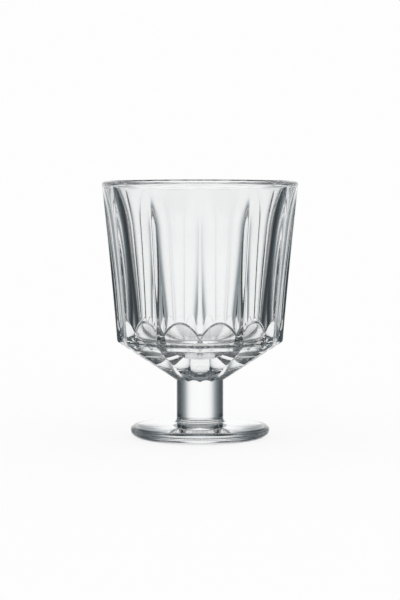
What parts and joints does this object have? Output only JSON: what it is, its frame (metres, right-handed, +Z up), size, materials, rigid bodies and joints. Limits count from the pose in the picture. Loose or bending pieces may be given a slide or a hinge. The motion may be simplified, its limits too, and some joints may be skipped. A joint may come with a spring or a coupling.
{
  "type": "parfait glass",
  "caption": "Clear fluted goblet for layered desserts and drinks: a tapering bowl with hollow flutes and a plain rim on a short round stem and a domed round foot.",
  "frame": {"origin": "centre of the face that the foot rests on", "axes": "+Z up along the axis of the stem; a ridge between two flutes points along -Y"},
  "size_m": [0.09, 0.09, 0.1177],
  "materials": {
    "bowl_glass": "clear, fire-polished",
    "stem_glass": "clear, fire-polished",
    "foot_glass": "clear, fire-polished"
  },
  "bodies": {
    "root": {"bowl": "bowl_glass", "stem": "stem_glass", "foot": "foot_glass"}
  },
  "joints": []
}
